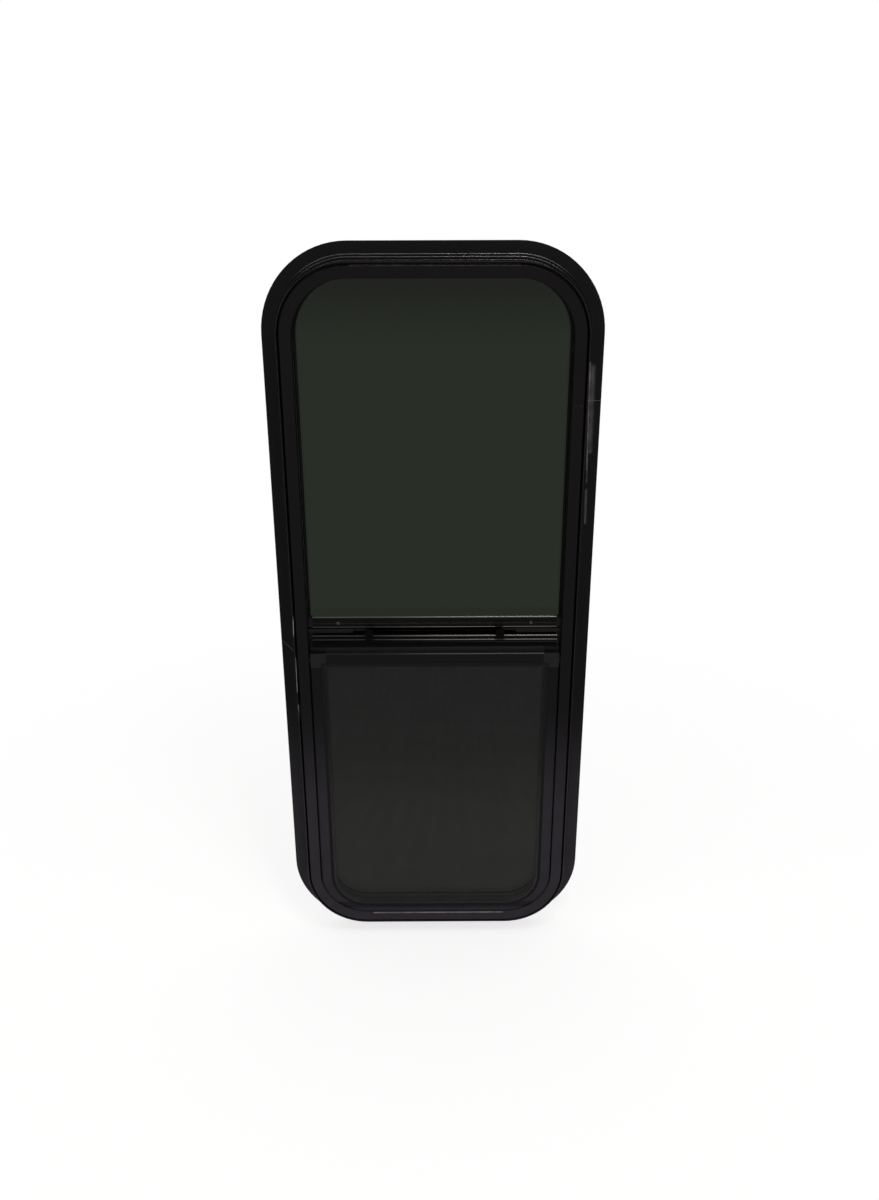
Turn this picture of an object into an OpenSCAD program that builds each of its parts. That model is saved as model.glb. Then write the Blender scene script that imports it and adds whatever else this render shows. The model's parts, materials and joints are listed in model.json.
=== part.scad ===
// Vertical sliding window for a caravan: a bent black aluminium frame with a fixed
// upper pane, a lower sash that slides up, and a half screen on the room side.
// Units are millimetres. The window stands upright with +Z up and +X to the right for
// a person in the room. The room is on the -Y side, the outside is on the +Y side.
// The origin lies on the wall side of the outer flange, in the middle of its lower run.

/* [Window] */
// Width over the outer flange
window_w = 390; // [330:1:600]
// Height over the outer flange
window_h = 915; // [700:1:1200]
// Radius of the flange's corners
corner_r = 100; // [80:1:120]
// Depth of the body from the flange's wall side to the face on the room side
body_depth = 33; // [32:0.5:38]
// Height of the meeting line above the lower edge
meet_height = 457.5; // [330:0.5:600]

/* [Frame section] */
// Thickness of the flange
flange_t = 2; // [1.5:0.1:3]
// Width of the flange from its edge to the body
flange_w = 20.5; // [16:0.5:24]
// Thickness of the body's walls
wall_t = 1.5; // [1.2:0.1:2]
// Width of the slot that takes the clamp ring's screws
race_w = 2.5; // [2:0.1:3.5]
// Depth of that slot
race_depth = 12; // [8:0.5:14]
// Width of the flat face on the room side
face_w = 13.5; // [11:0.5:15]
// Reach of the fins that divide the channels, from the bottom of a channel
fin_reach = 8; // [7:0.5:10]
// Gap of the butt joint in the bent frame
seam_gap = 0.3; // [0.2:0.1:1]
// Distance of the butt joint from the upper edge
seam_drop = 176; // [130:1:220]

/* [Glass] */
// Thickness of both panes
glass_t = 3; // [3:0.5:4]
// Thickness of the gasket on each side of the fixed pane
gasket_t = 1; // [0.8:0.1:1.2]

/* [Sash] */
// Distance of the sash stops below the upper corners
stop_drop = 7.5; // [2:0.5:60]
// Gap between the sash and the bottom of its channel
sash_gap = 1.5; // [1:0.1:2.5]
// Thickness of the sash
sash_t = 10.5; // [9:0.5:11]
// Height of the sash's bottom rail
bottom_rail_h = 23; // [16:1:26]
// Distance that a latch bolt is drawn back
latch_throw = 8; // [5:0.5:10]
// Distance of each latch tab from the middle
tab_x = 81; // [60:1:100]

/* [Screen] */
// Width of the screen frame's members
screen_w = 19; // [16:0.5:22]
// Thickness of the screen frame
screen_t = 8; // [7:0.5:8]
// Thickness of the screen cloth
mesh_t = 0.4; // [0.3:0.1:0.6]

/* [Hidden] */
$fn = 96;
black = [0.09, 0.09, 0.1];
trim = [0.16, 0.16, 0.17];
pile_grey = [0.3, 0.3, 0.3];

// Height of the origin above the window's lower edge, the middle of the plain flange
origin_up = 7;

// Places along u, the distance inward from the flange's edge
lip_u = flange_w;
race_u = lip_u + wall_t;
face_u = race_u + race_w;
web_u = face_u + 4;
channel_u = web_u + wall_t;
tip_u = channel_u + fin_reach;

// Places along n, the distance from the flange's wall side toward the room
pocket_n = glass_t + 2 * gasket_t;
sash_channel_n = pocket_n + wall_t;
face_back_n = body_depth - wall_t;
screen_channel_w = screen_t + 1;
screen_channel_n = face_back_n - screen_channel_w;
sash_channel_end_n = screen_channel_n - wall_t;
race_floor_n = body_depth - race_depth;

// The half width, and the heights of the straight parts of both sides
half_w = window_w / 2;
straight_low = corner_r;
straight_high = window_h - corner_r;

// Fixed pane
pane_n = gasket_t;
pane_u = channel_u + 1.5;
pane_bite = 8;
gasket_show = 1;

// Fixed meeting rail at the pane's lower edge, heights from the meeting line
meeting_top_z = 8;
meeting_floor_z = -pane_bite - 1.5 - wall_t;
meeting_low_z = meeting_floor_z - 6.5;

// Sash
sash_u = channel_u + sash_gap;
sash_half_w = half_w - sash_u;
sash_n = sash_channel_n + 1.5;
sash_front_n = sash_n + sash_t;
sash_glass_n = sash_n + 4;
glass_inset = 4;
glass_top_z = -20;
trim_reach = 7;
trim_wall = 1.5;
rail_crest = 18.2;
rail_top = 12.5;
guide_top = 16;
rail_half_l = half_w - tip_u - 5;
rail_leg_low = -30;
rail_floor_z = -18;
shelf_z = -4.5;
channel_top_z = 4;
shelf_front_n = 29;
lip_top_z = -2.5;
nose_r = 5;
nose_n = 29;
nose_z = -13;
screw_z = 9.5;

// Latch bolts
bolt_h = 5.5;
bolt_d = 6;
bolt_z = shelf_z + 0.3;
bolt_n = sash_front_n - 7.5;
bolt_tip_x = half_w - sash_u;
bolt_inner_x = tab_x + 21;
link_w = 3;
link_z = lip_top_z + 0.5;
tab_n = shelf_front_n + 1;
tab_w = 10;
tab_t = 2;
tab_low_z = -6.5;
tab_high_z = 6;

// Screen
screen_half_w = half_w - tip_u - 1.5;
screen_low = channel_u + 3.5;
screen_n = screen_channel_n + 0.5;
screen_front_n = screen_n + screen_t;
screen_top = meet_height - 26.5;
screen_r = corner_r - tip_u;
screen_wall = 1;
groove_d = 13;
groove_w = 3.5;
groove_depth = 4.5;
rim_drop = 0.5;
lip_h = 6.9;
lip_t = 1.5;
screen_leg_top = screen_top - screen_w;

// Strips and stops in the sash channel
pile_t = 1.2;
pile_w = 4;
stop_h = 12;

// Drain hoods and screen rests, with the distance of each from the middle
weep_x = half_w / 2;
weep_l = 30;
weep_h = 9;
weep_t = 3;
weep_u = flange_w - 2.5;
rest_x = half_w / 3.25;
rest_l = 20;

// Drawn lying down, x across, y up the window and z toward the room, then stood upright
module upright() {
    translate([0, 0, -origin_up]) rotate([90, 0, 0]) children();
}

module left_and_right(side) {
    if (side > 0) children();
    else mirror([1, 0, 0]) children();
}

// A box given by its low and high corners
module box(low, high) {
    translate(low) cube(high - low);
}

// A rectangle given by its low and high corners
module rect(low, high) {
    translate(low) square(high - low);
}

// A rectangle with all four corners round
module round_rect(low, high, r) {
    rect([low[0] + r, low[1]], [high[0] - r, high[1]]);
    rect([low[0], low[1] + r], [high[0], high[1] - r]);
    for (a = [low[0] + r, high[0] - r], b = [low[1] + r, high[1] - r])
        translate([a, b]) circle(r);
}

// The three runs below carry a section drawn in (d, n), d inward from the path's edge
module right_run(half, y_low, y_high) {
    translate([half, y_high, 0]) rotate([90, 0, 0])
        linear_extrude(y_high - y_low) mirror([1, 0]) children();
}

module low_run(half, y_low) {
    translate([-half, y_low, 0]) rotate([90, 0, 90]) linear_extrude(2 * half) children();
}

module low_right_corner(half, y_low, r) {
    translate([half - r, y_low + r, 0]) rotate([0, 0, -90])
        rotate_extrude(angle = 90) translate([r, 0]) mirror([1, 0]) children();
}

// A section carried down one side, along the bottom and up the other side
module cradle(half, y_low, y_high, r) {
    low_run(half - r, y_low) children();
    for (s = [1, -1]) left_and_right(s) {
        low_right_corner(half, y_low, r) children();
        if (y_high > y_low + r) right_run(half, y_low + r, y_high) children();
    }
}

// The same, turned over: up one side, along the top and down the other side
module arch(half, y_low, y_high, r) {
    translate([0, y_low + y_high, 0]) mirror([0, 1, 0])
        cradle(half, y_low, y_high, r) children();
}

// A section drawn in (n, height) carried straight across the window
module across(x_low, x_high) {
    translate([x_high, 0, 0]) rotate([0, -90, 0]) linear_extrude(x_high - x_low) children();
}

// A plate in the window's plane with its two lower corners round
module cradle_plate(half, y_low, y_high, r) {
    rect([-half, y_low + r], [half, y_high]);
    rect([-half + r, y_low], [half - r, y_low + r]);
    for (s = [-1, 1]) translate([s * (half - r), y_low + r]) circle(r);
}

// Section of the bent frame, drawn in (u, n)
module frame_section() {
    round_rect([0, -flange_t], [flange_w, 0], flange_t / 2 - 0.01);
    rect([flange_w / 2, -flange_t], [tip_u, 0]);
    for (rib_u = [flange_w - 6.5, flange_w - 3.5]) rect([rib_u, -0.5], [rib_u + 1, 0.8]);
    rect([lip_u, -0.5], [lip_u + wall_t, body_depth - wall_t / 2]);
    translate([lip_u + wall_t / 2, body_depth - wall_t / 2]) circle(wall_t / 2);
    rect([race_u - 0.5, race_floor_n - wall_t], [channel_u, race_floor_n]);
    rect([face_u, race_floor_n - wall_t], [face_u + wall_t, body_depth - wall_t]);
    rect([web_u, -0.5], [channel_u, body_depth - 0.5]);
    round_rect([face_u, face_back_n], [face_u + face_w, body_depth], 0.7);
    rect([face_u, face_back_n], [face_u + wall_t, body_depth - 0.7]);
    for (fin_n = [pocket_n, sash_channel_end_n])
        rect([channel_u - 0.5, fin_n], [tip_u, fin_n + wall_t]);
}

module frame() {
    seam_y = window_h - seam_drop;
    color(black) upright() difference() {
        union() {
            cradle(half_w, 0, meet_height, corner_r) frame_section();
            arch(half_w, meet_height, window_h, corner_r) frame_section();
        }
        box([half_w - tip_u - 2, seam_y - seam_gap / 2, -flange_t - 1],
            [half_w + 1, seam_y + seam_gap / 2, body_depth + 1]);
    }
}

module fixed_pane() {
    color([0.16, 0.18, 0.16, 0.6]) upright()
        translate([0, meet_height - pane_bite + window_h - pane_u, pane_n])
        mirror([0, 1, 0]) linear_extrude(glass_t)
        cradle_plate(half_w - pane_u, meet_height - pane_bite, window_h - pane_u,
            corner_r - pane_u);
}

module pane_gasket() {
    color(trim) upright()
        arch(half_w, meet_height - pane_bite, window_h, corner_r) difference() {
            rect([channel_u, 0], [tip_u + gasket_show, pocket_n]);
            rect([pane_u, pane_n], [tip_u + 2, pane_n + glass_t]);
        }
}

// The pane's lower edge sits in a gasket of its own in the meeting rail
module pane_bottom_gasket() {
    edge_y = meet_height - pane_bite;
    color(trim) upright() across(-half_w + tip_u + gasket_show, half_w - tip_u - gasket_show)
        difference() {
            rect([0, edge_y - 1.5], [pocket_n, meet_height + meeting_top_z + gasket_show]);
            rect([pane_n, edge_y], [pane_n + glass_t, meet_height + meeting_top_z + 2]);
        }
}

module meeting_rail() {
    color(black) upright() translate([0, meet_height, 0])
        across(-half_w + tip_u, half_w - tip_u) {
            for (n = [-wall_t, pocket_n])
                rect([n, meeting_low_z], [n + wall_t, meeting_top_z]);
            for (z = [meeting_low_z, meeting_floor_z])
                rect([-wall_t, z], [pocket_n + wall_t, z + wall_t]);
        }
}

module meeting_rail_bracket(side) {
    color(trim) upright() left_and_right(side)
        box([half_w - tip_u - 20, meet_height + meeting_low_z + wall_t, 0],
            [half_w - channel_u, meet_height + meeting_floor_z, pocket_n]);
}

module meeting_rail_pile() {
    color(pile_grey) upright() box(
        [-half_w + tip_u + 2, meet_height - 8, sash_channel_n],
        [half_w - tip_u - 2, meet_height - 8 + pile_w, sash_channel_n + pile_t]);
}

// Pile on the outer wall of the sash's channel
module side_pile(side) {
    color(pile_grey) upright() left_and_right(side)
        box([half_w - channel_u - 6, straight_low, sash_channel_n],
            [half_w - channel_u - 2, straight_high, sash_channel_n + pile_t]);
}

// Smooth strip on the room side wall of the sash's channel
module front_guide(side) {
    color(trim) upright() left_and_right(side)
        box([half_w - channel_u - 6, straight_low, sash_front_n + 0.3],
            [half_w - channel_u - 2, straight_high, sash_channel_end_n]);
}

module sill_seal() {
    color(trim) upright() box(
        [-half_w + corner_r + 5, channel_u, sash_n + 1],
        [half_w - corner_r - 5, sash_u - 0.3, sash_front_n - 1]);
}

module sash_stop(side) {
    stop_top = straight_high - stop_drop;
    color(trim) upright() left_and_right(side)
        box([half_w - tip_u + 0.5, stop_top - stop_h, sash_channel_n + pile_t],
            [half_w - channel_u, stop_top, sash_front_n + 0.3]);
}

// Small hood over a drain slot, on the outside of the lower run
module weep_cover(side) {
    color(trim) upright() left_and_right(side) translate([0, weep_u, -flange_t])
        across(weep_x - weep_l / 2, weep_x + weep_l / 2)
        polygon([[0, 0], [-weep_t, 0], [-weep_t, weep_h / 3], [0, weep_h]]);
}

// Section of the rolled screen frame, drawn in (d, n)
module screen_section() {
    difference() {
        union() {
            round_rect([0, screen_n], [groove_d, screen_front_n], 0.8);
            rect([groove_d - 2, screen_n], [groove_d, screen_front_n - 0.8]);
            rect([groove_d - 2, screen_n], [screen_w, screen_front_n - groove_depth]);
            rect([groove_d + groove_w, screen_n], [screen_w, screen_front_n - rim_drop]);
        }
        rect([screen_wall, screen_n + screen_wall],
            [groove_d - screen_wall, screen_front_n - screen_wall]);
    }
}

module screen_frame() {
    color(black) upright()
        cradle(screen_half_w, screen_low, screen_leg_top, screen_r) screen_section();
}

// The top rail carries a thin lip by which the screen is lifted out
module screen_top_rail() {
    color(black) upright() translate([0, screen_top, 0]) mirror([0, 1, 0])
        low_run(screen_half_w - screen_w, 0) {
            screen_section();
            rect([-lip_h, screen_n], [screen_wall, screen_n + lip_t]);
        }
}

// Plastic block that joins the screen's top rail to a side, with a lug that holds it
module screen_corner(side) {
    groove_low = screen_front_n - groove_depth;
    inner_x = screen_half_w - groove_d - groove_w;
    color(trim) upright() left_and_right(side) {
        difference() {
            box([screen_half_w - screen_w, screen_leg_top, screen_n],
                [screen_half_w, screen_top, screen_front_n]);
            box([inner_x, screen_leg_top - 1, groove_low],
                [screen_half_w - groove_d, screen_top - groove_d, screen_front_n + 1]);
            box([screen_half_w - screen_w - 1, screen_top - groove_d - groove_w, groove_low],
                [screen_half_w - groove_d, screen_top - groove_d, screen_front_n + 1]);
            box([screen_half_w - screen_w - 1, screen_leg_top - 1, screen_front_n - rim_drop],
                [inner_x, screen_top - groove_d - groove_w, screen_front_n + 1]);
        }
        box([screen_half_w - screen_w, screen_top - 1, screen_n],
            [screen_half_w, screen_top + lip_h + 0.4, screen_n + lip_t]);
        box([screen_half_w - 1, screen_top - 14, screen_n + 2],
            [half_w - channel_u - 0.3, screen_top - 7, screen_front_n - 2]);
    }
}

module screen_spline() {
    spline_low = screen_front_n - groove_depth;
    spline_high = screen_front_n - 0.2;
    color(trim) upright() {
        cradle(screen_half_w, screen_low, screen_top - groove_d - groove_w + 0.1, screen_r)
            rect([groove_d + 0.1, spline_low], [groove_d + groove_w - 0.1, spline_high]);
        box([-screen_half_w + groove_d + 0.1, screen_top - groove_d - groove_w + 0.1, spline_low],
            [screen_half_w - groove_d - 0.1, screen_top - groove_d - 0.1, spline_high]);
    }
}

module screen_mesh() {
    inset = groove_d + groove_w;
    color([0.12, 0.12, 0.12, 0.7]) upright() translate([0, 0, screen_front_n - rim_drop])
        linear_extrude(mesh_t)
        cradle_plate(screen_half_w - inset, screen_low + inset, screen_top - inset,
            screen_r - inset);
}

module screen_rest(side) {
    color(trim) upright() left_and_right(side)
        box([rest_x - rest_l / 2, channel_u, screen_n],
            [rest_x + rest_l / 2, screen_low, screen_front_n]);
}

// Section of the sash's pull rail, drawn in (n, height above the meeting line)
module latch_rail_section() {
    back = sash_n;
    front = sash_front_n;
    leg_front = sash_glass_n + glass_t;
    difference() {
        union() {
            rect([back, rail_floor_z], [back + wall_t, rail_top]);
            rect([back, rail_top - wall_t], [front, rail_top]);
            rect([front - wall_t, channel_top_z], [front, rail_crest - wall_t / 2]);
            translate([front - wall_t / 2, rail_crest - wall_t / 2]) circle(wall_t / 2);
            rect([back, channel_top_z], [front, channel_top_z + wall_t]);
            rect([back, shelf_z - wall_t], [shelf_front_n, shelf_z]);
            rect([shelf_front_n - wall_t, shelf_z - wall_t],
                [shelf_front_n, lip_top_z - wall_t / 2]);
            translate([shelf_front_n - wall_t / 2, lip_top_z - wall_t / 2])
                circle(wall_t / 2);
            rect([back, rail_floor_z], [leg_front + wall_t, rail_floor_z + wall_t]);
            rect([leg_front, rail_floor_z], [leg_front + wall_t, shelf_z - wall_t / 2]);
            for (n = [sash_glass_n - wall_t, leg_front])
                rect([n, rail_leg_low], [n + wall_t, rail_floor_z + wall_t / 2]);
            rect([nose_n - 2.5, nose_z], [nose_n - 0.5, shelf_z - wall_t / 2]);
            translate([nose_n, nose_z]) circle(nose_r);
        }
        translate([nose_n, nose_z]) circle(nose_r - wall_t);
        polygon([[front + 0.1, screw_z + 0.9], [front - 0.5, screw_z], [front + 0.1, screw_z - 0.9]]);
    }
}

module sash_latch_rail() {
    color(black) upright() translate([0, meet_height, 0])
        across(-rail_half_l, rail_half_l) latch_rail_section();
}

// Plastic end of the pull rail, which runs in the side channel
module sash_end_guide(side) {
    color(trim) upright() left_and_right(side) translate([0, meet_height, 0]) difference() {
        box([rail_half_l, rail_leg_low, sash_n], [sash_half_w, guide_top, sash_front_n]);
        box([rail_half_l - 1, shelf_z, sash_n + wall_t],
            [sash_half_w + 1, channel_top_z, sash_front_n + 1]);
        box([rail_half_l - 1, rail_leg_low - 1, sash_glass_n],
            [sash_half_w - glass_inset, glass_top_z, sash_glass_n + glass_t]);
    }
}

module sash_glass() {
    color([0.2, 0.21, 0.21, 0.6]) upright() translate([0, 0, sash_glass_n])
        linear_extrude(glass_t)
        cradle_plate(sash_half_w - glass_inset, sash_u + glass_inset,
            meet_height + glass_top_z, corner_r - sash_u - glass_inset);
}

module sash_edge_trim(side) {
    color(trim) upright() left_and_right(side)
        right_run(sash_half_w, straight_low, meet_height + rail_leg_low) difference() {
            rect([0, sash_glass_n - 2], [trim_reach, sash_glass_n + glass_t + 2]);
            rect([glass_inset, sash_glass_n], [trim_reach + 1, sash_glass_n + glass_t]);
        }
}

module sash_bottom_rail() {
    color(black) upright()
        cradle(sash_half_w, sash_u, sash_u, corner_r - sash_u) difference() {
            round_rect([0, sash_glass_n - 2.5], [bottom_rail_h, sash_glass_n + glass_t + 2.5], 0.8);
            rect([glass_inset, sash_glass_n], [bottom_rail_h + 1, sash_glass_n + glass_t]);
        }
}

// Bolt that lies in the pull rail's channel, with a thin link to its tab
module latch_bolt(side) {
    color([0.22, 0.22, 0.23]) upright() left_and_right(side) translate([0, meet_height, 0]) {
        box([bolt_inner_x, bolt_z, bolt_n], [bolt_tip_x, bolt_z + bolt_h, bolt_n + bolt_d]);
        box([tab_x + link_w, link_z, bolt_n + 1.5],
            [bolt_inner_x + 1, link_z + link_w, bolt_n + 1.5 + link_w]);
    }
}

module latch_tab(side) {
    color(trim) upright() left_and_right(side) translate([0, meet_height, 0]) {
        box([tab_x - link_w, link_z, bolt_n + 1.5],
            [tab_x + link_w, link_z + link_w, tab_n + 0.5]);
        translate([tab_x - tab_w / 2, 0, tab_n]) linear_extrude(tab_t)
            round_rect([0, tab_low_z], [tab_w, tab_high_z], 1);
    }
}

frame();
fixed_pane();
pane_gasket();
pane_bottom_gasket();
meeting_rail();
meeting_rail_bracket(-1);  // meeting_rail_bracket_left
meeting_rail_bracket(1);  // meeting_rail_bracket_right
meeting_rail_pile();
side_pile(-1);  // side_pile_left
side_pile(1);  // side_pile_right
front_guide(-1);  // front_guide_left
front_guide(1);  // front_guide_right
sill_seal();
sash_stop(-1);  // sash_stop_left
sash_stop(1);  // sash_stop_right
weep_cover(-1);  // weep_cover_left
weep_cover(1);  // weep_cover_right
screen_frame();
screen_top_rail();
screen_corner(-1);  // screen_corner_left
screen_corner(1);  // screen_corner_right
screen_spline();
screen_mesh();
screen_rest(-1);  // screen_rest_left
screen_rest(1);  // screen_rest_right
sash_latch_rail();
sash_end_guide(-1);  // sash_end_guide_left
sash_end_guide(1);  // sash_end_guide_right
sash_glass();
sash_edge_trim(-1);  // sash_edge_trim_left
sash_edge_trim(1);  // sash_edge_trim_right
sash_bottom_rail();
latch_bolt(-1);  // latch_bolt_left
latch_tab(-1);  // latch_tab_left
latch_bolt(1);  // latch_bolt_right
latch_tab(1);  // latch_tab_right
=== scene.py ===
"""The look of a sliding window for a caravan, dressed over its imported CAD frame.

Lengths are metres. X runs to the right for a person in the room, the room is on the
-Y side, and Z is up. The CAD nodes keep their shapes and get their finishes here. The
insect cloth and the pull rail's screws are made in this script.
"""

import json
import math

import bmesh
import bpy
from mathutils import Matrix, Vector


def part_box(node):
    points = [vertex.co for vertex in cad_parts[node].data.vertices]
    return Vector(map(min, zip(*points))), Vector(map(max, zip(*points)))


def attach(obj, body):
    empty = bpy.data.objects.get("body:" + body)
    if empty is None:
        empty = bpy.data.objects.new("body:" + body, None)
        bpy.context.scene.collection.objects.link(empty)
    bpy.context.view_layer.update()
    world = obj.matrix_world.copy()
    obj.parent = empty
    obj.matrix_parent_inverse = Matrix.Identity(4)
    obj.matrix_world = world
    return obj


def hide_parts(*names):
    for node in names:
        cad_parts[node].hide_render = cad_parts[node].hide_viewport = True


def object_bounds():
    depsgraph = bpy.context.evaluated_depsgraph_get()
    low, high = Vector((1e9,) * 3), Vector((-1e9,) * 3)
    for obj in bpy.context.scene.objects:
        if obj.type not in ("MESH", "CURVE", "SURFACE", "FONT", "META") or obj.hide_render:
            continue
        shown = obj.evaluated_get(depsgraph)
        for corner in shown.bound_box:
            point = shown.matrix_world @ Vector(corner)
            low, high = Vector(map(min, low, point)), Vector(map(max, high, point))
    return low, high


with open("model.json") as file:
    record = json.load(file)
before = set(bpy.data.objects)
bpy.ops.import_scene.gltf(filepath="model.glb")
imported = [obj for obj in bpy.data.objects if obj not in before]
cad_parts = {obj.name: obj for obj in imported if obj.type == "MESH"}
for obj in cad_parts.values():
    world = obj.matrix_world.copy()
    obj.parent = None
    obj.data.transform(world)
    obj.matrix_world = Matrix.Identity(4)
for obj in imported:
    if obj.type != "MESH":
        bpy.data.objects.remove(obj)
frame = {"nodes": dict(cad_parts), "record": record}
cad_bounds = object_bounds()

MM = 0.001

# Where the camera stood, and the directions of its right, up and back
CAMERA_PLACE = Vector((0.00284, -1.16494, 0.94533))
CAMERA_RIGHT = Vector((0.999987, -0.004125, -0.002920))
CAMERA_UP = Vector((0.004235, 0.368599, 0.929579))
LENS_MM = 30.0
SENSOR_MM = 36.0

# The pull rail's front wall, and the height where the two lights meet
RAIL_FACE_Y = -18.5 * MM
MEETING_Z = 450.5 * MM

WHITE = "#FFFFFF"


def linear(colour):
    """An sRGB hex colour as linear RGBA."""
    parts = [int(colour[i : i + 2], 16) / 255 for i in (1, 3, 5)]
    return (*[p / 12.92 if p <= 0.04045 else ((p + 0.055) / 1.055) ** 2.4 for p in parts], 1.0)


def per_m(size_mm):
    """Pattern scale at which one feature of a texture is size_mm across."""
    return 1000.0 / size_mm


def add(tree, kind, inputs=(), **settings):
    """Adds a node with its settings. Each input gets a value, or a link from a socket."""
    made = tree.nodes.new(kind)
    for name, value in settings.items():
        setattr(made, name, value)
    for key, value in dict(inputs).items():
        if isinstance(value, bpy.types.NodeSocket):
            tree.links.new(value, made.inputs[key])
        else:
            made.inputs[key].default_value = value
    return made


def new_material(name):
    """An empty node material with its output, and the place on the piece in metres."""
    material = bpy.data.materials.new(name)
    material.use_nodes = True
    tree = material.node_tree
    tree.nodes.clear()
    output = tree.nodes.new("ShaderNodeOutputMaterial")
    place = tree.nodes.new("ShaderNodeTexCoord").outputs["Object"]
    return material, tree, output, place


# Rubs and scratches on the frame, and two painted highlight lines. Each runs from one point to another in X
# and Z, with its width and its strength. Millimetres.
FRAME_STREAKS = (
    # The flange on the right: a bright end, a long rub and a broad faint one, and below them two more
    ((179.8, 774.0), (180.3, 750.0), 2.6, 1.0),
    ((179.6, 776.0), (182.4, 650.0), 2.4, 0.65),
    ((183.4, 770.0), (184.6, 672.0), 9.0, 0.25),
    ((182.7, 650.0), (182.9, 634.0), 2.0, 0.3),
    ((182.9, 625.0), (183.6, 583.4), 4.0, 0.35),
    # The lip on the left, and a scratch across the flange beside it
    ((-172.9, 474.9), (-174.5, 448.1), 1.9, 1.0),
    ((-193.1, 428.2), (-181.1, 415.5), 0.9, 0.5),
    ((-173.0, 419.6), (-173.7, 372.3), 1.7, 0.9),
    ((-173.5, 353.9), (-172.4, 329.5), 1.5, 0.7),
    ((-172.2, 329.5), (-173.0, 303.2), 1.2, 0.35),
    # A painted highlight along the ring's outer arris at the top
    ((-90.0, 883.8), (95.0, 883.8), 1.8, 0.7),
    # A painted highlight along the lip at the bottom, and chips on the lower edge of the flange
    ((-86.0, 29.6), (92.0, 29.6), 3.2, 0.75),
    ((-104.0, -5.2), (-98.0, -5.4), 1.6, 0.8),
    ((-42.0, -5.2), (-39.0, -5.0), 1.5, 0.8),
    ((-26.0, -4.4), (-23.0, -4.4), 1.4, 0.6),
    ((54.0, -5.4), (57.0, -5.2), 1.6, 0.8),
)

# Lines along X where a section is rubbed or carries a painted highlight. Y, Z and half width in
# millimetres, then the strength on the left and on the right, which grows to the right as painted light
# from the lamp there.
# On the pull rail: the crest, the foot of its front wall, and the lip, partly rubbed and partly painted
# highlights.
PULL_RAIL_RUBS_AND_HIGHLIGHTS = (
    (-17.75, 467.95, 0.8, 0.35, 0.7),
    (-18.3, 454.6, 0.55, 0.4, 1.0),
    (-28.25, 447.3, 0.8, 0.15, 0.65),
)
# On the screen: a painted highlight on the front arris of its top rail
SCREEN_RUBS_AND_HIGHLIGHTS = ((-30.9, 423.8, 0.7, 0.06, 0.75),)

# Lighter bands along X: a line as above, and the band's colour.
# A painted reflection on the pull rail's front wall and a painted highlight on the top of its round nose;
# on the screen, painted light on the shaded ledge behind its arris, a painted highlight on the lip's edge,
# and a lighter band on the outer side of the bottom member.
PULL_RAIL_PAINTED_LIGHT = (
    ((-18.5, 461.5, 5.2, 1.0, 1.0), "#0E0D0E"),
    ((-29.6, 442.4, 0.8, 0.2, 1.0), "#68635F"),
)
SCREEN_BANDS = (
    ((-26.5, 427.0, 4.6, 0.9, 1.0), "#242223"),
    ((-24.0, 431.2, 1.1, 0.0, 1.0), "#8A8581"),
    ((-29.0, 41.5, 4.5, 0.8, 0.8), "#131214"),
)
# From the first X to the second, a line's strength ramps from its left to its right value: painted light,
# stronger towards the lamp on the right
LAMP_RAMP_LEFT_X = -75 * MM
LAMP_RAMP_RIGHT_X = 15 * MM


def line_mask(tree, place, y, z, half_width, left, right):
    """The strength of a line along X, fading out beyond half_width; it ramps from the left value to the
    right one as painted light, stronger towards the lamp on the right.
    """
    section = add(tree, "ShaderNodeVectorMath", {0: place, 1: (0, 1, 1)}, operation="MULTIPLY").outputs[0]
    gap = add(tree, "ShaderNodeVectorMath", {0: section, 1: (0, y * MM, z * MM)},
              operation="DISTANCE").outputs["Value"]
    x = add(tree, "ShaderNodeSeparateXYZ", {0: place}).outputs["X"]
    strength = add(tree, "ShaderNodeMapRange", {"Value": x, "From Min": LAMP_RAMP_LEFT_X, "From Max": LAMP_RAMP_RIGHT_X,
                                                "To Min": left, "To Max": right},
                   interpolation_type="SMOOTHSTEP").outputs[0]
    return add(tree, "ShaderNodeMapRange",
               {"Value": gap, "From Min": 1.4 * half_width * MM, "From Max": half_width * MM,
                "To Min": 0.0, "To Max": strength}).outputs[0]


def streak_mask(tree, place, start, end, width, strength):
    """1 inside a thin rubbed line or painted highlight line on the room side, 0 away from it."""
    a = Vector((start[0] * MM, 0, start[1] * MM))
    b = Vector((end[0] * MM, 0, end[1] * MM))
    run = b - a
    flat = add(tree, "ShaderNodeVectorMath", {0: place, 1: (1, 0, 1)}, operation="MULTIPLY").outputs[0]
    away = add(tree, "ShaderNodeVectorMath", {0: flat, 1: a}, operation="SUBTRACT").outputs[0]
    along = add(tree, "ShaderNodeVectorMath", {0: away, 1: run / run.length_squared},
                operation="DOT_PRODUCT").outputs["Value"]
    held = add(tree, "ShaderNodeClamp", {"Value": along}).outputs[0]
    foot = add(tree, "ShaderNodeVectorMath", {0: run, "Scale": held}, operation="SCALE").outputs[0]
    gap = add(tree, "ShaderNodeVectorMath", {0: away, 1: foot}, operation="DISTANCE").outputs["Value"]
    return add(tree, "ShaderNodeMapRange",
               {"Value": gap, "From Min": width * MM / 2, "From Max": 0.0,
                "To Min": 0.0, "To Max": strength}, interpolation_type="SMOOTHSTEP").outputs[0]


def largest(tree, masks):
    """The strongest of several masks."""
    top = masks[0]
    for mask in masks[1:]:
        top = add(tree, "ShaderNodeMath", {0: top, 1: mask}, operation="MAXIMUM").outputs[0]
    return top


# Painted reflection of the pale floor: full up to the first height and gone at the second
PAINTED_FLOOR_LIGHT_HEIGHTS = (170 * MM, 360 * MM)
PAINTED_FLOOR_LIGHT_COLOUR = "#29262B"
RUB_AND_HIGHLIGHT_COLOUR = "#7A7774"

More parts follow.
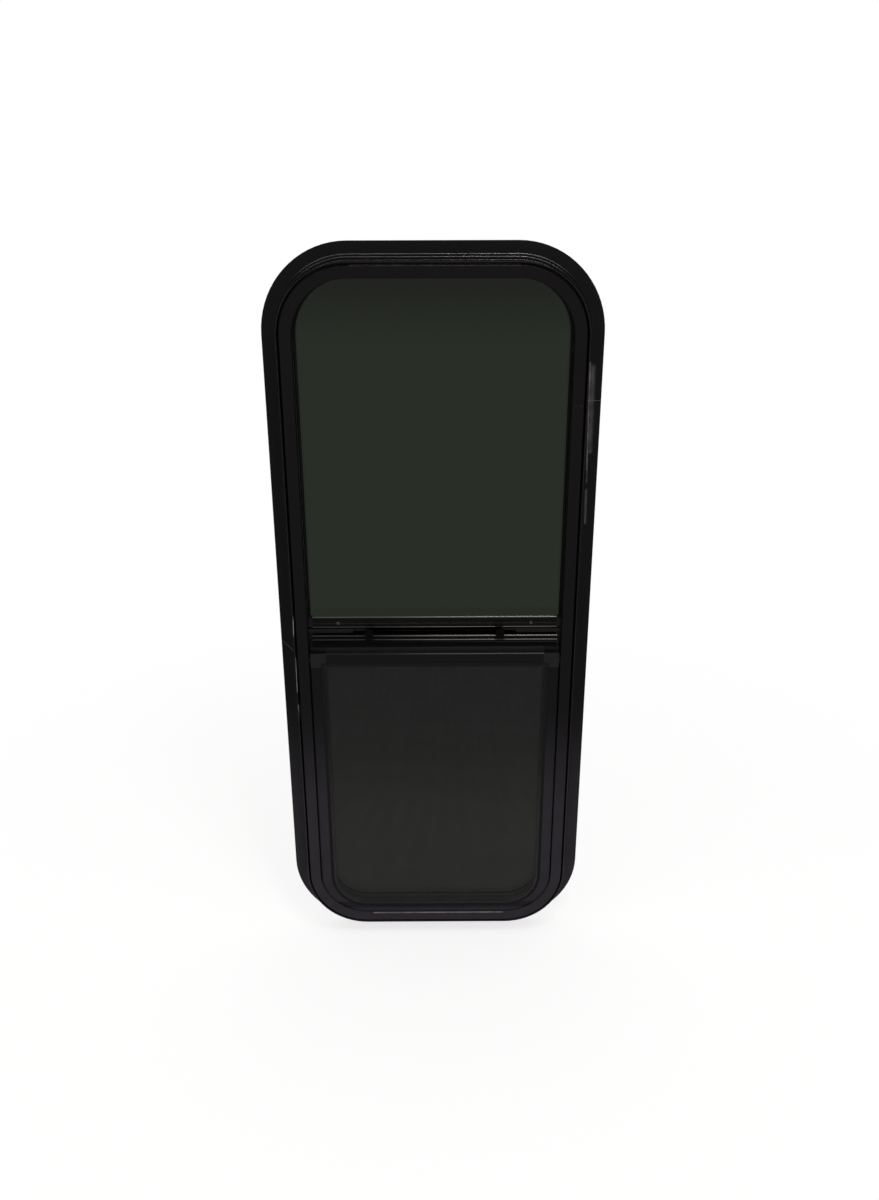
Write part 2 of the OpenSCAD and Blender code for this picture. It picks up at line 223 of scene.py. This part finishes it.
# Along the top run, from the first height to the second, the arrises get a painted highlight
TOP_RUN_HIGHLIGHT_HEIGHTS = (865 * MM, 885 * MM)
TOP_RUN_PAINTED_HIGHLIGHT = "#ADABB2"


def powder_coat(name, coat, level, arris, arris_mm, roughness, peel_mm, wear_and_highlights=(), rubs_and_highlights=(), bands=()):
    """Black powder coat on extruded aluminium.

    The coat flows into a fine orange peel and draws back from the arrises, where the
    metal glints through it as a thin line. Low down it is painted lighter, a painted reflection
    of the pale floor; rubs and painted highlights show as grey lines, and bands of painted light lie along
    it.
    """
    material, tree, output, place = new_material(name)

    clouds = add(tree, "ShaderNodeTexNoise", {"Vector": place, "Scale": per_m(70),
                                              "Detail": 3.0}).outputs["Fac"]
    tone = add(tree, "ShaderNodeMix", {0: clouds, 6: linear(coat[0]), 7: linear(coat[1])},
               data_type="RGBA").outputs[2]

    # Painted reflection of the pale floor: none at the meeting line, an even painted film over the lowest
    # part
    height = add(tree, "ShaderNodeSeparateXYZ", {0: place}).outputs["Z"]
    low_down = add(tree, "ShaderNodeMapRange",
                   {"Value": height, "From Min": PAINTED_FLOOR_LIGHT_HEIGHTS[1], "From Max": PAINTED_FLOOR_LIGHT_HEIGHTS[0],
                    "To Min": 0.0, "To Max": 1.0}, interpolation_type="SMOOTHSTEP").outputs[0]
    patchy = add(tree, "ShaderNodeTexNoise", {"Vector": place, "Scale": per_m(25), "Detail": 5.0,
                                              "Roughness": 0.65}).outputs["Fac"]
    floor_light_patches = add(tree, "ShaderNodeMapRange", {"Value": patchy, "From Min": 0.25, "From Max": 0.75,
                                            "To Min": 0.7, "To Max": 1.0}).outputs[0]
    painted_floor_light = add(tree, "ShaderNodeMath", {0: low_down, 1: floor_light_patches}, operation="MULTIPLY").outputs[0]
    coat_with_painted_light = add(tree, "ShaderNodeMix", {0: painted_floor_light, 6: tone, 7: linear(PAINTED_FLOOR_LIGHT_COLOUR)},
                data_type="RGBA").outputs[2]

    # Arrises: the rounded normal turns away from the face's own there
    rounded = add(tree, "ShaderNodeBevel", {"Radius": arris_mm * MM}, samples=8).outputs["Normal"]
    true_face = tree.nodes.new("ShaderNodeNewGeometry").outputs["Normal"]
    turn = add(tree, "ShaderNodeVectorMath", {0: rounded, 1: true_face},
               operation="DOT_PRODUCT").outputs["Value"]
    edge = add(tree, "ShaderNodeMapRange", {"Value": turn, "From Min": 0.995, "From Max": 0.8,
                                            "To Min": 0.0, "To Max": 1.0}).outputs[0]
    chatter = add(tree, "ShaderNodeTexNoise", {"Vector": place, "Scale": per_m(9),
                                               "Detail": 4.0}).outputs["Fac"]
    thin_here = add(tree, "ShaderNodeMapRange", {"Value": chatter, "From Min": 0.3, "From Max": 0.6,
                                                 "To Min": 0.55, "To Max": 1.0}).outputs[0]
    bare = add(tree, "ShaderNodeMath", {0: edge, 1: thin_here}, operation="MULTIPLY").outputs[0]
    # Bands of painted light: a painted reflection, painted highlights and light painted onto a shaded
    # ledge; one band is only lighter
    for band, band_colour in bands:
        here = line_mask(tree, place, *band)
        coat_with_painted_light = add(tree, "ShaderNodeMix", {0: here, 6: coat_with_painted_light, 7: linear(band_colour)},
                    data_type="RGBA").outputs[2]
    # Rubbed lines, partly real wear and partly painted highlights that grow towards the lamp on the right
    bare = largest(tree, [bare] + [line_mask(tree, place, *rub) for rub in rubs_and_highlights])
    # Along the top run the arrises are painted brighter: a painted highlight where light falls from above
    top_run = add(tree, "ShaderNodeMapRange", {"Value": height, "From Min": TOP_RUN_HIGHLIGHT_HEIGHTS[0],
                                               "From Max": TOP_RUN_HIGHLIGHT_HEIGHTS[1]},
                  interpolation_type="SMOOTHSTEP").outputs[0]
    glint = add(tree, "ShaderNodeMix", {0: top_run, 6: linear(arris), 7: linear(TOP_RUN_PAINTED_HIGHLIGHT)},
                data_type="RGBA").outputs[2]
    colour = add(tree, "ShaderNodeMix", {0: bare, 6: coat_with_painted_light, 7: glint}, data_type="RGBA").outputs[2]
    if wear_and_highlights:
        streaks = largest(tree, [streak_mask(tree, place, *w) for w in wear_and_highlights])
        broken = add(tree, "ShaderNodeMapRange", {"Value": chatter, "From Min": 0.35, "From Max": 0.6,
                                                  "To Min": 0.5, "To Max": 1.0}).outputs[0]
        streaks = add(tree, "ShaderNodeMath", {0: streaks, 1: broken}, operation="MULTIPLY").outputs[0]
        # Only on the room side's faces, and not on the back of the window
        toward_room = add(tree, "ShaderNodeSeparateXYZ", {0: true_face}).outputs["Y"]
        front = add(tree, "ShaderNodeMapRange", {"Value": toward_room, "From Min": -0.2, "From Max": -0.8,
                                                 "To Min": 0.0, "To Max": 1.0}).outputs[0]
        streaks = add(tree, "ShaderNodeMath", {0: streaks, 1: front}, operation="MULTIPLY").outputs[0]
        # Rubs, scratches and the painted highlight lines along the top arris and bottom lip, in one grey
        colour = add(tree, "ShaderNodeMix", {0: streaks, 6: colour, 7: linear(RUB_AND_HIGHLIGHT_COLOUR)},
                     data_type="RGBA").outputs[2]

    gloss = add(tree, "ShaderNodeMapRange", {"Value": clouds, "From Min": 0.3, "From Max": 0.7,
                                             "To Min": roughness[0], "To Max": roughness[1]}).outputs[0]
    dulled = add(tree, "ShaderNodeMath", {0: painted_floor_light, 1: 0.18, 2: gloss}, operation="MULTIPLY_ADD").outputs[0]

    peel = add(tree, "ShaderNodeTexNoise", {"Vector": place, "Scale": per_m(peel_mm),
                                            "Detail": 2.0}).outputs["Fac"]
    bumped = add(tree, "ShaderNodeBump", {"Height": peel, "Distance": 0.02 * MM, "Strength": 0.5,
                                          "Normal": rounded}).outputs["Normal"]
    shader = add(tree, "ShaderNodeBsdfPrincipled",
                 {"Base Color": colour, "Metallic": bare, "Roughness": dulled, "IOR": 1.5,
                  "Specular IOR Level": level, "Normal": bumped})
    tree.links.new(shader.outputs[0], output.inputs["Surface"])
    return material


def tinted_glass(name, tints_and_painted_shade, band, gleam, haze):
    """Tempered privacy glass, tinted in the mass, with a trace of dust and wiping marks.

    The colour turns from the first to the second over a band of heights, in metres; the darker second one
    is painted shade towards the top of the pane.
    """
    material, tree, output, place = new_material(name)
    height = add(tree, "ShaderNodeSeparateXYZ", {0: place}).outputs["Z"]
    # Darker towards the top of the pane: painted shade
    share = add(tree, "ShaderNodeMapRange", {"Value": height, "From Min": band[0], "From Max": band[1]},
                interpolation_type="SMOOTHSTEP").outputs[0]
    shaded_tint = add(tree, "ShaderNodeMix", {0: share, 6: linear(tints_and_painted_shade[0]), 7: linear(tints_and_painted_shade[1])},
               data_type="RGBA").outputs[2]
    wipes = add(tree, "ShaderNodeMapping", {"Vector": place, "Rotation": (0.0, 0.5, 0.0),
                                            "Scale": (1.0, 1.0, 0.25)}).outputs[0]
    smears = add(tree, "ShaderNodeTexNoise", {"Vector": wipes, "Scale": per_m(18),
                                              "Detail": 5.0}).outputs["Fac"]
    roughness = add(tree, "ShaderNodeMapRange", {"Value": smears, "From Min": 0.4, "From Max": 0.7,
                                                 "To Min": haze[0], "To Max": haze[1]}).outputs[0]
    shader = add(tree, "ShaderNodeBsdfPrincipled",
                 {"Base Color": shaded_tint, "Roughness": roughness, "IOR": 1.52,
                  "Specular Tint": linear(gleam), "Transmission Weight": 1.0})
    tree.links.new(shader.outputs[0], output.inputs["Surface"])
    return material


def grained(name, tones, grain_mm, depth_mm, roughness, level, edge_mm=0.3):
    """A moulded or extruded black polymer: a fine grain, soft arrises and no gloss."""
    material, tree, output, place = new_material(name)
    clouds = add(tree, "ShaderNodeTexNoise", {"Vector": place, "Scale": per_m(14),
                                              "Detail": 4.0}).outputs["Fac"]
    colour = add(tree, "ShaderNodeMix", {0: clouds, 6: linear(tones[0]), 7: linear(tones[1])},
                 data_type="RGBA").outputs[2]
    grain = add(tree, "ShaderNodeTexVoronoi", {"Vector": place,
                                               "Scale": per_m(grain_mm)}).outputs["Distance"]
    rough = add(tree, "ShaderNodeMapRange", {"Value": clouds, "From Min": 0.3, "From Max": 0.7,
                                             "To Min": roughness[0], "To Max": roughness[1]}).outputs[0]
    rounded = add(tree, "ShaderNodeBevel", {"Radius": edge_mm * MM}, samples=6).outputs["Normal"]
    bumped = add(tree, "ShaderNodeBump", {"Height": grain, "Distance": depth_mm * MM, "Strength": 0.5,
                                          "Normal": rounded}).outputs["Normal"]
    shader = add(tree, "ShaderNodeBsdfPrincipled",
                 {"Base Color": colour, "Roughness": rough, "IOR": 1.5,
                  "Specular IOR Level": level, "Normal": bumped})
    tree.links.new(shader.outputs[0], output.inputs["Surface"])
    return material


def brushed_pile():
    """Grey polypropylene pile, dense short fibres across the strip."""
    material, tree, output, place = new_material("brushed_pile")
    fibres = add(tree, "ShaderNodeTexNoise", {"Vector": place, "Scale": per_m(0.35),
                                              "Detail": 2.0}).outputs["Fac"]
    colour = add(tree, "ShaderNodeMix", {0: fibres, 6: linear("#121212"), 7: linear("#3A3A3A")},
                 data_type="RGBA").outputs[2]
    bumped = add(tree, "ShaderNodeBump", {"Height": fibres, "Distance": 0.3 * MM,
                                          "Strength": 0.8}).outputs["Normal"]
    shader = add(tree, "ShaderNodeBsdfPrincipled",
                 {"Base Color": colour, "Roughness": 0.95, "IOR": 1.5, "Specular IOR Level": 0.2,
                  "Sheen Weight": 0.3, "Sheen Roughness": 0.5, "Normal": bumped})
    tree.links.new(shader.outputs[0], output.inputs["Surface"])
    return material


# Insect cloth: 18 by 16 threads to the inch, of 0.28 mm yarn
CLOTH_PITCH = (25.4 / 18 * MM, 25.4 / 16 * MM)
YARN = 0.28 * MM


def coated_weave():
    """Black vinyl on fibreglass yarn, plain weave: dull round threads with open air between.

    A thread shows where the distance to the nearest multiple of the pitch is under half
    the yarn. Each thread rises over one crossing and dips under the next.
    """
    material, tree, output, place = new_material("coated_weave")
    split = add(tree, "ShaderNodeSeparateXYZ", {0: place}).outputs
    solid, relief = [], []
    for across, along, pitch, step, side in ((split["X"], split["Z"], *CLOTH_PITCH, 1.0),
                                             (split["Z"], split["X"], *CLOTH_PITCH[::-1], -1.0)):
        gap = add(tree, "ShaderNodeMath", {0: across, 1: pitch / 2}, operation="PINGPONG").outputs[0]
        thread = add(tree, "ShaderNodeMath", {0: gap, 1: YARN / 2}, operation="LESS_THAN").outputs[0]
        index = add(tree, "ShaderNodeMath", {0: across, 1: math.pi / pitch},
                    operation="MULTIPLY").outputs[0]
        phase = add(tree, "ShaderNodeMath", {0: along, 1: math.pi / step, 2: index},
                    operation="MULTIPLY_ADD").outputs[0]
        wave = add(tree, "ShaderNodeMath", {0: phase}, operation="COSINE").outputs[0]
        rise = add(tree, "ShaderNodeMath", {0: wave, 1: side * YARN / 3, 2: YARN},
                   operation="MULTIPLY_ADD").outputs[0]
        crown = add(tree, "ShaderNodeMath", {0: rise, 1: gap}, operation="SUBTRACT").outputs[0]
        relief.append(add(tree, "ShaderNodeMath", {0: crown, 1: thread}, operation="MULTIPLY").outputs[0])
        solid.append(thread)
    cover = add(tree, "ShaderNodeMath", {0: solid[0], 1: solid[1]}, operation="MAXIMUM").outputs[0]
    height = add(tree, "ShaderNodeMath", {0: relief[0], 1: relief[1]}, operation="MAXIMUM").outputs[0]
    bumped = add(tree, "ShaderNodeBump", {"Height": height, "Distance": 1.0,
                                          "Strength": 0.6}).outputs["Normal"]
    uneven = add(tree, "ShaderNodeTexNoise", {"Vector": place, "Scale": per_m(30),
                                              "Detail": 4.0}).outputs["Fac"]
    # Lighter towards the bottom: a painted reflection of the pale floor
    painted_floor_light = add(tree, "ShaderNodeMapRange", {"Value": split["Z"], "From Min": 0.3, "From Max": 0.15,
                                            "To Min": 0.0, "To Max": 0.7},
               interpolation_type="SMOOTHSTEP").outputs[0]
    yarn = add(tree, "ShaderNodeMix", {0: uneven, 6: linear("#141414"), 7: linear("#1E1E1E")},
               data_type="RGBA").outputs[2]
    colour = add(tree, "ShaderNodeMix", {0: painted_floor_light, 6: yarn, 7: linear("#383735")},
                 data_type="RGBA").outputs[2]
    shader = add(tree, "ShaderNodeBsdfPrincipled",
                 {"Base Color": colour, "Roughness": 0.65, "IOR": 1.5, "Specular IOR Level": 0.15,
                  "Alpha": cover, "Normal": bumped})
    tree.links.new(shader.outputs[0], output.inputs["Surface"])
    return material


def blackened_steel():
    """Black zinc on a steel screw, rubbed bright where a driver has turned it."""
    material, tree, output, place = new_material("blackened_steel")
    rub = add(tree, "ShaderNodeTexNoise", {"Vector": place, "Scale": per_m(1.2),
                                           "Detail": 3.0}).outputs["Fac"]
    bare = add(tree, "ShaderNodeMapRange", {"Value": rub, "From Min": 0.4, "From Max": 0.62}).outputs[0]
    colour = add(tree, "ShaderNodeMix", {0: bare, 6: linear("#141415"), 7: linear("#4C4C4E")},
                 data_type="RGBA").outputs[2]
    shader = add(tree, "ShaderNodeBsdfPrincipled",
                 {"Base Color": colour, "Metallic": 0.9, "Roughness": 0.38})
    tree.links.new(shader.outputs[0], output.inputs["Surface"])
    return material


FINISHES = {
    "black_aluminium": powder_coat("gloss_powder_coat", ("#0A0808", "#0E0C0D"), 0.055, "#353436", 0.3,
                                   (0.24, 0.34), 1.6, wear_and_highlights=FRAME_STREAKS),
    "pull_rail": powder_coat("handled_powder_coat", ("#020202", "#050405"), 0.02, "#77736F", 0.3,
                             (0.2, 0.28), 1.6, rubs_and_highlights=PULL_RAIL_RUBS_AND_HIGHLIGHTS, bands=PULL_RAIL_PAINTED_LIGHT),
    "screen_aluminium": powder_coat("satin_screen_paint", ("#09090A", "#0E0D0F"), 0.055, "#4A4846", 0.3,
                                    (0.36, 0.46), 0.9, rubs_and_highlights=SCREEN_RUBS_AND_HIGHLIGHTS, bands=SCREEN_BANDS),
    "tinted_glass": tinted_glass("green_privacy_glass", ("#262B24", "#1F201D"), (0.79, 0.87),
                                 "#484E46", (0.0, 0.02)),
    "tinted_glass_lower": tinted_glass("grey_privacy_glass", ("#212220", "#1B1C1B"), (0.2, 0.43),
                                       "#4A4C4A", (0.0, 0.03)),
    "black_rubber": grained("extruded_rubber", ("#080808", "#0D0D0D"), 0.5, 0.03, (0.6, 0.75), 0.1),
    "black_plastic": grained("moulded_nylon", ("#0D0D0E", "#131314"), 0.7, 0.03, (0.45, 0.6), 0.12),
    "latch_plastic": grained("satin_acetal", ("#030303", "#050505"), 0.9, 0.02, (0.32, 0.42), 0.02, 0.5),
    "latch_bolt": grained("grey_bolt_acetal", ("#1B1A1B", "#222122"), 0.9, 0.02, (0.4, 0.5), 0.1, 0.4),
    "grey_pile": brushed_pile(),
    "screen_cloth": coated_weave(),
    "screw": blackened_steel(),
}


def wear_finish(piece, slot):
    """Puts a finish on every material slot of a piece."""
    if not piece.data.materials:
        piece.data.materials.append(FINISHES[slot])
    for place in piece.material_slots:
        place.material = FINISHES[slot]


def dress_cad_nodes():
    for row in frame["record"]["subparts"]:
        wear_finish(frame["nodes"][row["node"]], row["material_slot"])
    wear_finish(frame["nodes"]["sash_latch_rail"], "pull_rail")
    for side in ("left", "right"):
        wear_finish(frame["nodes"]["latch_bolt_" + side], "latch_bolt")


def piece_from(name, bm, slot, body, smooth=False):
    """Turns a bmesh into a piece that wears a finish and rides on a CAD body."""
    mesh = bpy.data.meshes.new(name)
    bm.to_mesh(mesh)
    bm.free()
    for face in mesh.polygons:
        face.use_smooth = smooth
    piece = bpy.data.objects.new(name, mesh)
    bpy.context.scene.collection.objects.link(piece)
    mesh.materials.append(FINISHES[slot])
    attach(piece, body)
    return piece


CLOTH_CORNER_R = 45.5 * MM
CLOTH_CORNER_STEPS = 12


def insect_cloth():
    """The stretched insect cloth, one flat sheet cut to the screen's rounded outline."""
    low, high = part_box("screen_mesh")
    y = (low.y + high.y) / 2
    r = CLOTH_CORNER_R
    outline = [(low.x, high.z)]
    for side, turns in ((-1, range(CLOTH_CORNER_STEPS + 1)), (1, range(CLOTH_CORNER_STEPS, -1, -1))):
        for k in turns:
            angle = math.pi / 2 * k / CLOTH_CORNER_STEPS
            outline.append((side * (high.x - r + r * math.cos(angle)), low.z + r - r * math.sin(angle)))
    outline.append((high.x, high.z))
    bm = bmesh.new()
    bm.faces.new([bm.verts.new((x, y, z)) for x, z in outline])
    cloth = piece_from("insect_cloth", bm, "screen_cloth", "window")
    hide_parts("screen_mesh")
    return cloth


SCREW_X = 120 * MM
SCREW_Z = MEETING_Z + 9.5 * MM
SCREW_HEAD_R = 2.4 * MM
SCREW_HEAD_H = 1.3 * MM


def rail_screw(name, x, turn):
    """A small pan head with a cross recess, standing on the pull rail's upper wall."""
    bm = bmesh.new()
    steps = 32
    profile = ((0.0, 1.0), (0.45, 0.97), (0.75, 0.86), (0.93, 0.62), (1.0, 0.3), (1.0, 0.0))
    arm, width, sunk = 0.55, 0.14, 0.45

    def recess(radius, angle):
        """Depth of the cross at a point of the head, as a share of its height."""
        u, v = abs(radius * math.cos(angle)), abs(radius * math.sin(angle))
        inside = (u < arm and v < width) or (v < arm and u < width)
        return sunk * (1 - 0.6 * max(u, v) / arm) if inside else 0.0

    radii = [i / 14 for i in range(1, 15)]
    rings = []
    for r in radii:
        for (r0, h0), (r1, h1) in zip(profile, profile[1:]):
            if r0 <= r <= r1 and r1 > r0:
                height = h0 + (h1 - h0) * (r - r0) / (r1 - r0)
        ring = []
        for k in range(steps * 2):
            angle = math.pi * k / steps
            h = height - recess(r, angle)
            ring.append(bm.verts.new((r * SCREW_HEAD_R * math.cos(angle),
                                      -h * SCREW_HEAD_H, r * SCREW_HEAD_R * math.sin(angle))))
        rings.append(ring)
    foot = [bm.verts.new((v.co.x, 0.1 * MM, v.co.z)) for v in rings[-1]]
    rings.append(foot)
    middle = bm.verts.new((0, -(1 - sunk) * SCREW_HEAD_H, 0))
    for k in range(steps * 2):
        n = (k + 1) % (steps * 2)
        bm.faces.new((middle, rings[0][n], rings[0][k]))
        for inner, outer in zip(rings, rings[1:]):
            bm.faces.new((inner[k], inner[n], outer[n], outer[k]))
    bm.faces.new(foot[::-1])
    bmesh.ops.recalc_face_normals(bm, faces=bm.faces)
    bmesh.ops.transform(bm, verts=bm.verts, matrix=Matrix.Translation((x, RAIL_FACE_Y, SCREW_Z))
                        @ Matrix.Rotation(turn, 4, "Y"))
    screw = piece_from(name, bm, "screw", "sash", smooth=True)
    return screw


def white_to_camera(tree):
    """1 for camera, glossy and transmission rays, which see the white background."""
    path = tree.nodes.new("ShaderNodeLightPath")
    seen = add(tree, "ShaderNodeMath", {0: path.outputs["Is Camera Ray"], 1: path.outputs["Is Glossy Ray"]},
               operation="MAXIMUM").outputs[0]
    return add(tree, "ShaderNodeMath", {0: seen, 1: path.outputs["Is Transmission Ray"]},
               operation="MAXIMUM").outputs[0]


def pale_floor():
    """A pale floor just under the lower edge, which keeps the window's soft shadow."""
    bm = bmesh.new()
    bmesh.ops.create_grid(bm, x_segments=1, y_segments=1, size=12.0)
    mesh = bpy.data.meshes.new("floor")
    bm.to_mesh(mesh)
    bm.free()
    floor = bpy.data.objects.new("floor", mesh)
    floor.location.z = cad_bounds[0].z - 0.2 * MM
    bpy.context.scene.collection.objects.link(floor)
    material = bpy.data.materials.new("floor_paint")
    material.use_nodes = True
    tree = material.node_tree
    tree.nodes.clear()
    output = tree.nodes.new("ShaderNodeOutputMaterial")
    paint = add(tree, "ShaderNodeBsdfDiffuse", {"Color": linear("#F8F8F6")})
    glow = add(tree, "ShaderNodeEmission", {"Color": linear(WHITE), "Strength": 1.0})
    # White to the eye far from the window, and nearer to the paint round its foot, for the shadow
    place = tree.nodes.new("ShaderNodeTexCoord").outputs["Object"]
    reach = add(tree, "ShaderNodeVectorMath", {0: place}, operation="LENGTH").outputs["Value"]
    white = add(tree, "ShaderNodeMapRange", {"Value": reach, "From Min": 0.3, "From Max": 1.3,
                                             "To Min": 0.75, "To Max": 1.0},
                interpolation_type="SMOOTHSTEP").outputs[0]
    share = add(tree, "ShaderNodeMath", {0: white_to_camera(tree), 1: white},
                operation="MULTIPLY").outputs[0]
    both = add(tree, "ShaderNodeMixShader", {0: share, 1: paint.outputs[0], 2: glow.outputs[0]})
    tree.links.new(both.outputs[0], output.inputs["Surface"])
    mesh.materials.append(material)


WORLD_LIGHT = 0.85


def white_world():
    """A white room: full white to the eye and in reflections, softer as a light."""
    world = bpy.data.worlds.new("white_room")
    bpy.context.scene.world = world
    world.use_nodes = True
    tree = world.node_tree
    tree.nodes.clear()
    output = tree.nodes.new("ShaderNodeOutputWorld")
    strength = add(tree, "ShaderNodeMapRange", {"Value": white_to_camera(tree), "To Min": WORLD_LIGHT,
                                                "To Max": 1.0}).outputs[0]
    sky = add(tree, "ShaderNodeBackground", {"Color": linear(WHITE), "Strength": strength})
    tree.links.new(sky.outputs[0], output.inputs["Surface"])


def soft_box(name, place, target, size, watts):
    lamp = bpy.data.lights.new(name, "AREA")
    lamp.shape = "RECTANGLE"
    lamp.size, lamp.size_y = size
    lamp.energy = watts
    box = bpy.data.objects.new(name, lamp)
    box.location = place
    box.rotation_euler = (Vector(target) - Vector(place)).to_track_quat("-Z", "Y").to_euler()
    bpy.context.scene.collection.objects.link(box)


def studio():
    """One soft box above and to the right, and a broad weak one on the left."""
    soft_box("key_box", (0.27, -0.75, 1.75), (0.0, 0.0, 0.45), (0.3, 0.5), 9.0)
    soft_box("left_box", (-1.3, -0.9, 1.3), (0.0, 0.0, 0.45), (0.8, 0.8), 2.5)


def camera():
    """The photograph's viewpoint: level with the top of the window, looking down at it."""
    lens = bpy.data.cameras.new("camera")
    lens.lens = LENS_MM
    lens.sensor_width = SENSOR_MM
    lens.sensor_fit = "AUTO"
    lens.clip_start = 0.05
    eye = bpy.data.objects.new("camera", lens)
    back = CAMERA_RIGHT.cross(CAMERA_UP)
    turn = Matrix((CAMERA_RIGHT, CAMERA_UP, back)).transposed().to_4x4()
    eye.matrix_world = Matrix.Translation(CAMERA_PLACE) @ turn
    bpy.context.scene.collection.objects.link(eye)
    bpy.context.scene.camera = eye


camera()
white_world()
studio()
pale_floor()
dress_cad_nodes()
insect_cloth()
rail_screw("rail_screw_left", -SCREW_X, 0.35)
rail_screw("rail_screw_right", SCREW_X, 1.1)

bpy.context.scene.view_settings.view_transform = "Standard"
